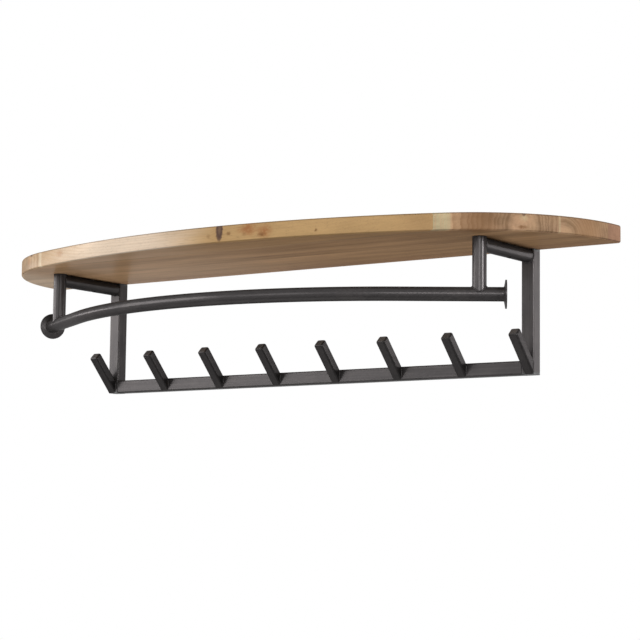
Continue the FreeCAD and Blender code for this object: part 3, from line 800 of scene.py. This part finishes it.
def hook_mesh(name, sizes, node):
    """A straight hook of square bar, cut upright at its root and worn round at its edges and tip."""
    low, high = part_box(node)
    rise = sizes.hook_angle
    side = high.x - low.x
    along = Vector((0, -math.cos(rise), math.sin(rise)))
    across = Vector((0, math.sin(rise), math.cos(rise)))
    foot = Vector((low.x, BAR_LOW.y, BAR_LOW.z))
    tip = foot + along * sizes.hook_length
    outline = [foot, tip, tip + across * side, foot + Vector((0, 0, side / math.cos(rise)))]
    shape = stack_rings([outline, [point + Vector((side, 0, 0)) for point in outline]])
    off_root = BAR_LOW.y - sizes.hook_round
    edges = [edge for edge in shape.edges if any(vertex.co.y < off_root for vertex in edge.verts)]
    bmesh.ops.bevel(
        shape, geom=edges, offset=sizes.hook_round, segments=sizes.edge_steps,
        profile=ROUND_PROFILE, affect="EDGES",
    )
    return smooth_mesh(name, shape)


# Welds

# Shares of the bead radius: a full weld, a hook's and a disc's, how deep a flush bead is sunk, and how
# far a bead stays below the shelf
FULL_BEAD = 1.0
HOOK_BEAD = 0.75
DISC_BEAD = 0.6
BEAD_SUNK = 0.7
BEAD_CLEAR = 1.3

# Where a hook's welds start above the underside of the bar, and stop below its top
HOOK_WELD_START = 0.003
HOOK_WELD_STOP = 0.002

# Points round a ring and a saddle and in one ripple of a bead, and the sides of a bead
RING_STEPS = 64
SADDLE_STEPS = 96
RIPPLE_STEPS = 5.0
BEAD_SIDES = 10

# Lumps of a bead per metre, and how sharply and deeply its ends taper
BEAD_LUMPS = 240.0
TAPER_POWER = 10.0
TAPER_DEPTH = 0.85


def turns_round(steps, gap):
    """Even turns round a circle, open by a gap on both sides of the start."""
    last = steps if gap else steps - 1
    span = 2 * math.pi - 2 * gap
    return [gap + span * number / steps for number in range(last + 1)]


def ring_path(centre, first, second, radius, gap=0.0):
    """Points round a circle spanned by two directions, open by a gap at the first one."""
    turns = turns_round(RING_STEPS, gap)
    return [centre + radius * (math.cos(turn) * first + math.sin(turn) * second) for turn in turns]


def saddle_path(centre, axis, along, across, radius, land, gap=0.0):
    """Points where a coped tube meets a tube of its own diameter."""
    points = []
    for turn in turns_round(SADDLE_STEPS, gap):
        out = radius * (math.cos(turn) * along + math.sin(turn) * across)
        rise = max(radius * abs(math.cos(turn)), land)
        points.append(centre + out + rise * axis)
    return points


def bracket_welds(sizes, sign):
    """Weld paths of one bracket: arm to post, arm to drop, drop to rail and rail to disc."""
    up, wall, out = Vector((0, 0, 1)), Vector((0, 1, 0)), Vector((sign, 0, 0))
    tube = (ARM_HIGH.z - ARM_LOW.z) / 2
    middle = sign * (POST_LOW.x + POST_HIGH.x) / 2
    arm_root = Vector((middle, POST_LOW.y, ARM_LOW.z + tube))
    drop_top = Vector((middle, (DROP_LOW.y + DROP_HIGH.y) / 2, arm_root.z))
    rail_z = sum(corner.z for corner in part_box("coat_rail")) / 2
    rail_seat = Vector((middle, drop_top.y, rail_z))
    turn = sizes.rail_end_angle
    heading = Vector((sign * math.cos(turn), math.sin(turn), 0))
    across = Vector((-math.sin(turn), sign * math.cos(turn), 0))
    clear = math.acos(1 - BEAD_CLEAR * sizes.weld_bead / tube)
    rail_end = rail_seat + heading * sizes.rail_overhang
    return [
        (ring_path(arm_root, up, out, tube, clear), False, FULL_BEAD),
        (saddle_path(drop_top, wall, up, out, tube, sizes.cope_land, clear), False, FULL_BEAD),
        (saddle_path(rail_seat, up, heading, across, tube, sizes.cope_land), True, FULL_BEAD),
        (ring_path(rail_end, up, across, tube), True, DISC_BEAD),
    ]


def bar_welds(sizes, sign):
    """Weld paths of one end of the hook bar: across its top, down its front and below it."""
    end = sign * BAR_HIGH.x
    flush = sizes.weld_bead * BEAD_SUNK
    front = BAR_LOW.y + flush
    top = [Vector((end, BAR_HIGH.y, BAR_HIGH.z)), Vector((end, BAR_LOW.y, BAR_HIGH.z))]
    face = [Vector((end, front, BAR_HIGH.z)), Vector((end, front, BAR_LOW.z + flush))]
    below = [Vector((end, BAR_HIGH.y, BAR_LOW.z + flush)), Vector((end, front, BAR_LOW.z + flush))]
    return [(path, False, FULL_BEAD) for path in (top, face, below)]


def hook_welds():
    """Weld paths up both sides of each hook's root."""
    paths = []
    for node in HOOK_NODES:
        low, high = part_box(node)
        for x in (low.x, high.x):
            foot = Vector((x, BAR_LOW.y, BAR_LOW.z + HOOK_WELD_START))
            head = Vector((x, BAR_LOW.y, BAR_HIGH.z - HOOK_WELD_STOP))
            paths.append(([foot, head], False, HOOK_BEAD))
    return paths


def path_mesh(name, paths):
    """Bare edges along weld paths, each path with a flag that closes it and its share of the bead."""
    points, edges, shares = [], [], []
    for path, closed, share in paths:
        first = len(points)
        points += path
        shares += [share] * len(path)
        edges += [(first + n, first + n + 1) for n in range(len(path) - 1)]
        if closed:
            edges.append((len(points) - 1, first))
    mesh = bpy.data.meshes.new(name)
    mesh.from_pydata(points, edges, [])
    mesh.attributes.new("bead_share", "FLOAT", "POINT").data.foreach_set("value", shares)
    return mesh


def weld_tree():
    """Geometry nodes that lay a rippled bead along every path of a mesh."""
    tree = bpy.data.node_groups.new("Weld bead", "GeometryNodeTree")
    face = tree.interface
    face.new_socket("Paths", in_out="INPUT", socket_type="NodeSocketGeometry")
    for name in ("Bead radius", "Ripple pitch", "Ripple depth"):
        face.new_socket(name, in_out="INPUT", socket_type="NodeSocketFloat")
    face.new_socket("Finish", in_out="INPUT", socket_type="NodeSocketMaterial")
    face.new_socket("Beads", in_out="OUTPUT", socket_type="NodeSocketGeometry")
    graph = Graph(tree)
    group = tree.nodes.new("NodeGroupInput")
    paths, bead, pitch, depth, finish = [Socket(graph, group.outputs[n]) for n in range(5)]
    curve = graph.node("GeometryNodeMeshToCurve", {"Mesh": paths})
    curve = graph.node("GeometryNodeResampleCurve", {"Curve": curve, "Length": pitch / RIPPLE_STEPS},
                       {"mode": "LENGTH"})
    travelled = graph.node("GeometryNodeSplineParameter", output="Length")
    way = graph.node("GeometryNodeSplineParameter", output="Factor")
    is_ring = graph.node("GeometryNodeInputSplineCyclic")
    wave = graph.math("SINE", travelled / pitch * math.tau)
    place = graph.node("GeometryNodeInputPosition")
    uneven = graph.node("ShaderNodeTexNoise", {"Vector": place, "Scale": BEAD_LUMPS, "Detail": 1.0})
    end = graph.math("ABSOLUTE", way * 2.0 - 1.0) ** TAPER_POWER
    taper = 1.0 - end * (1.0 - is_ring) * TAPER_DEPTH
    share = graph.node("GeometryNodeInputNamedAttribute", {"Name": "bead_share"},
                       {"data_type": "FLOAT"})
    width = bead * share * taper * (0.9 + wave * depth + uneven * 0.2)
    profile = graph.node("GeometryNodeCurvePrimitiveCircle",
                         {"Resolution": BEAD_SIDES, "Radius": 1.0})
    mesh = graph.node("GeometryNodeCurveToMesh",
                      {"Curve": curve, "Profile Curve": profile, "Scale": width, "Fill Caps": True})
    mesh = graph.node("GeometryNodeSetShadeSmooth", {"Geometry": mesh})
    mesh = graph.node("GeometryNodeRealizeInstances", {"Geometry": mesh})
    mesh = graph.node("GeometryNodeSetMaterial", {"Geometry": mesh, "Material": finish})
    graph.node("NodeGroupOutput", {0: mesh})
    return tree


def lay_welds(name, paths, tree, sizes, finish):
    """Run the weld tree on some paths and keep the result as a plain mesh."""
    piece = add_object(name, path_mesh(name, paths))
    maker = piece.modifiers.new("Weld bead", "NODES")
    maker.node_group = tree
    values = {
        "Bead radius": sizes.weld_bead, "Ripple pitch": sizes.weld_pitch,
        "Ripple depth": sizes.weld_ripple, "Finish": finish,
    }
    for item in tree.interface.items_tree:
        if item.in_out == "INPUT" and item.name in values:
            maker[item.identifier] = values[item.name]
    depsgraph = bpy.context.evaluated_depsgraph_get()
    baked = bpy.data.meshes.new_from_object(piece.evaluated_get(depsgraph))
    piece.modifiers.remove(maker)
    piece.data = baked
    if not baked.polygons:
        raise RuntimeError(f"{name} has no faces")
    return piece


# Stage

@dataclass
class Lamp:
    """A rectangular soft light: where it hangs, where it points, and its width and height."""

    place: tuple
    target: tuple
    width: float
    height: float


# The camera's sensor in millimetres, and the floor's sides and noise scale
SENSOR_WIDTH = 36
FLOOR_SIDES = 96
FLOOR_GRAIN = (30, 30, 30)

LAMPS = {
    "key": Lamp((-2.23, -1.91, 0.68), (-0.1, -0.2, 0.1), 2.2, 1.4),
    "left": Lamp((-2.1, -0.30, 0.22), (-0.3, -0.18, 0.01), 0.85, 0.18),
    "front": Lamp((-0.10, -2.75, 0.60), (0.2, -0.2, 0.05), 1.3, 0.9),
    "near": Lamp((0.95, -1.05, 0.14), (0.40, -0.15, 0.03), 0.55, 0.12),
    "side": Lamp((1.38, -0.26, 0.19), (0.386, -0.154, 0.05), 0.36, 0.20),
    "rim": Lamp((0.85, 0.78, 0.08), (0.40, 0.0, 0.0), 0.22, 0.6),
    "back": Lamp((-0.2, 2.4, 1.3), (0, 0, 0.05), 2.0, 1.2),
    "low": Lamp((-0.8, -0.5, -1.8), (-0.8, -0.5, 0.0), 2.2, 1.6),
}


def aim(place, target):
    """A rotation that turns a lamp at a place towards a target."""
    return (Vector(target) - Vector(place)).to_track_quat("-Z", "Y").to_euler()


def hang_lamp(name, watts, lamp):
    """Hang one soft light."""
    data = bpy.data.lights.new(name, "AREA")
    data.shape = "RECTANGLE"
    data.size = lamp.width
    data.size_y = lamp.height
    data.energy = watts
    light = add_object(name, data)
    light.location = lamp.place
    light.rotation_euler = aim(lamp.place, lamp.target)
    light.visible_camera = False


def seen_directly(graph):
    """One for rays from the camera, or by way of a gloss or through glass."""
    names = ("Is Camera Ray", "Is Glossy Ray", "Is Transmission Ray")
    return graph.highest([graph.node("ShaderNodeLightPath", output=name) for name in names])


def make_world(studio):
    """White to the camera and in reflections, and an even dim light for the rest."""
    world = bpy.data.worlds.new("studio")
    world.use_nodes = True
    graph = Graph(world.node_tree)
    seen = seen_directly(graph)
    strength = studio.ambience + seen * (1 - studio.ambience)
    light = graph.node("ShaderNodeBackground", {"Color": (1, 1, 1, 1), "Strength": strength})
    graph.node("ShaderNodeOutputWorld", {"Surface": light})
    bpy.context.scene.world = world


def make_floor(studio, tone):
    """A pale round floor that fades out into the white and takes the shadow."""
    shape = bmesh.new()
    bmesh.ops.create_circle(shape, cap_ends=True, segments=FLOOR_SIDES, radius=studio.floor_radius)
    bmesh.ops.translate(shape, verts=shape.verts, vec=(0, 0, -studio.floor_drop))
    floor = add_object("studio_floor", smooth_mesh("studio_floor", shape))
    material, graph, place = new_finish("studio_floor")
    flat = graph.vector("MULTIPLY", place, (1, 1, 0))
    fade = graph.step(graph.measure(flat), studio.floor_radius * 0.3, studio.floor_radius * 0.98)
    below = graph.node("ShaderNodeNewGeometry", output="Backfacing")
    grain = graph.noise(place, FLOOR_GRAIN, 3.0)
    shade = graph.scaled(tuple(tone.floor), graph.step(grain, 0.2, 0.8, 0.985, 1.015))
    paint = graph.node("ShaderNodeBsdfPrincipled", {"Base Color": shade, "Roughness": 0.8})
    clear = graph.node("ShaderNodeBsdfTransparent")
    hidden = graph.math("MAXIMUM", fade, below)
    mixed = graph.node("ShaderNodeMixShader", {0: hidden, 1: paint, 2: clear})
    graph.node("ShaderNodeOutputMaterial", {"Surface": mixed})
    floor.data.materials.append(material)


def make_camera(studio):
    """Stand the camera where the photograph was taken from."""
    data = bpy.data.cameras.new("camera")
    data.sensor_fit = "HORIZONTAL"
    data.sensor_width = SENSOR_WIDTH
    data.lens = studio.camera_lens
    camera = add_object("camera", data)
    turn = Euler((math.pi / 2 + studio.camera_pitch, 0, studio.camera_azimuth)).to_matrix()
    lean = Matrix.Rotation(studio.camera_roll, 3, "Z")
    camera.matrix_world = Matrix.Translation(studio.camera_place) @ (turn @ lean).to_4x4()
    bpy.context.scene.camera = camera


# Operators

class COATRACK_OT_shelf(bpy.types.Operator):
    """Make the four glued boards of the bow-front shelf"""

    bl_idname = "coatrack.shelf"
    bl_label = "Shelf Boards"

    def execute(self, context):
        sizes = context.scene.coatrack_sizes
        tone = context.scene.coatrack_colours
        seams = [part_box(node)[1].y for node in BOARD_NODES[:-1]]
        for node, board in zip(BOARD_NODES, sawn_boards(tone)):
            low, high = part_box(node)
            name = f"{node}_wood"
            piece = add_object(name, board_mesh(name, sizes, low.y, high.y, low.z, high.z))
            piece.data.materials.append(make_wood(name, board, tone, seams))
            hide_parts(node)
            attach(piece, "root")
        return {"FINISHED"}


class COATRACK_OT_frame(bpy.types.Operator):
    """Lacquer the posts, arms, drops, rail, discs and bar"""

    bl_idname = "coatrack.frame"
    bl_label = "Steel Frame"

    def execute(self, context):
        sizes = context.scene.coatrack_sizes
        tone = context.scene.coatrack_colours
        upright = make_steel("steel_upright", tone, LINES_UPRIGHT)
        level = make_steel("steel_level", tone, LINES_LEVEL)
        inward = make_steel("steel_inward", tone, LINES_INWARD)
        for side, _ in SIDES:
            dress(f"{side}_post", upright)
            dress(f"{side}_drop", upright)
            dress(f"{side}_arm", inward)
            dress(f"{side}_rail_disc", upright, sizes.disc_round)
        dress("coat_rail", level)
        dress("hook_bar", level)
        return {"FINISHED"}


class COATRACK_OT_hooks(bpy.types.Operator):
    """Make the eight hooks, darkened with painted shade, their tips partly worn and partly painted light
    """

    bl_idname = "coatrack.hooks"
    bl_label = "Hooks"

    def execute(self, context):
        sizes = context.scene.coatrack_sizes
        tone = context.scene.coatrack_colours
        tip = (0, -math.cos(sizes.hook_angle), math.sin(sizes.hook_angle))
        tipped = make_steel("steel_hook", tone, LINES_INWARD, tip, HOOK_PAINTED_SHADE)
        for node in HOOK_NODES:
            name = f"{node}_bar"
            piece = add_object(name, hook_mesh(name, sizes, node))
            piece.data.materials.append(tipped)
            piece.modifiers.new("Even", "WEIGHTED_NORMAL").keep_sharp = True
            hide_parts(node)
            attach(piece, "root")
        return {"FINISHED"}


class COATRACK_OT_welds(bpy.types.Operator):
    """Lay the weld beads that join the steel frame"""

    bl_idname = "coatrack.welds"
    bl_label = "Weld Beads"

    def execute(self, context):
        sizes = context.scene.coatrack_sizes
        tree = weld_tree()
        finish = bpy.data.materials["steel_level"]
        groups = [("hook_welds", hook_welds())]
        for side, sign in SIDES:
            paths = bracket_welds(sizes, sign) + bar_welds(sizes, sign)
            groups.append((f"{side}_bracket_welds", paths))
        for name, paths in groups:
            piece = lay_welds(name, paths, tree, sizes, finish)
            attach(piece, "root")
        return {"FINISHED"}


class COATRACK_OT_fittings(bpy.types.Operator):
    """Finish the moulded post plugs and the zinc-plated shelf screws"""

    bl_idname = "coatrack.fittings"
    bl_label = "Plugs and Screws"

    def execute(self, context):
        sizes = context.scene.coatrack_sizes
        tone = context.scene.coatrack_colours
        plastic = make_plastic(tone)
        for side, _ in SIDES:
            for end in ("top", "foot"):
                dress(f"{side}_post_{end}_plug", plastic, sizes.plug_round)
        dress("shelf_screws", make_zinc(tone))
        return {"FINISHED"}


class COATRACK_OT_stage(bpy.types.Operator):
    """Set up the floor, the lights, the camera and the picture's view settings"""

    bl_idname = "coatrack.stage"
    bl_label = "Studio Stage"

    def execute(self, context):
        studio = context.scene.coatrack_studio
        make_world(studio)
        make_floor(studio, context.scene.coatrack_colours)
        for name, lamp in LAMPS.items():
            hang_lamp(f"{name}_light", getattr(studio, f"{name}_power"), lamp)
        make_camera(studio)
        context.scene.view_settings.view_transform = "Standard"
        return {"FINISHED"}


class COATRACK_PT_panel(bpy.types.Panel):
    """Buttons and settings of the coat rack"""

    bl_idname = "COATRACK_PT_panel"
    bl_label = "Wall Coat Rack"
    bl_space_type = "VIEW_3D"
    bl_region_type = "UI"
    bl_category = "Coat Rack"

    def draw(self, context):
        for operator in OPERATORS:
            self.layout.operator(operator.bl_idname)
        for name in SETTINGS:
            group = getattr(context.scene, name)
            box = self.layout.box()
            for setting in group.__annotations__:
                box.prop(group, setting)


SETTINGS = {
    "coatrack_sizes": CoatRackSizes,
    "coatrack_colours": CoatRackColours,
    "coatrack_studio": CoatRackStudio,
}
OPERATORS = (
    COATRACK_OT_shelf,
    COATRACK_OT_frame,
    COATRACK_OT_hooks,
    COATRACK_OT_welds,
    COATRACK_OT_fittings,
    COATRACK_OT_stage,
)
CLASSES = (*SETTINGS.values(), *OPERATORS, COATRACK_PT_panel)


def register():
    """Register the classes and attach the settings to the scene."""
    for item in CLASSES:
        bpy.utils.register_class(item)
    for name, group in SETTINGS.items():
        setattr(bpy.types.Scene, name, PointerProperty(type=group))


def unregister():
    """Take everything away again."""
    for name in SETTINGS:
        delattr(bpy.types.Scene, name)
    for item in reversed(CLASSES):
        bpy.utils.unregister_class(item)


def main():
    register()
    bpy.ops.coatrack.shelf()
    bpy.ops.coatrack.frame()
    bpy.ops.coatrack.hooks()
    bpy.ops.coatrack.welds()
    bpy.ops.coatrack.fittings()
    bpy.ops.coatrack.stage()


if __name__ == "__main__":
    main()
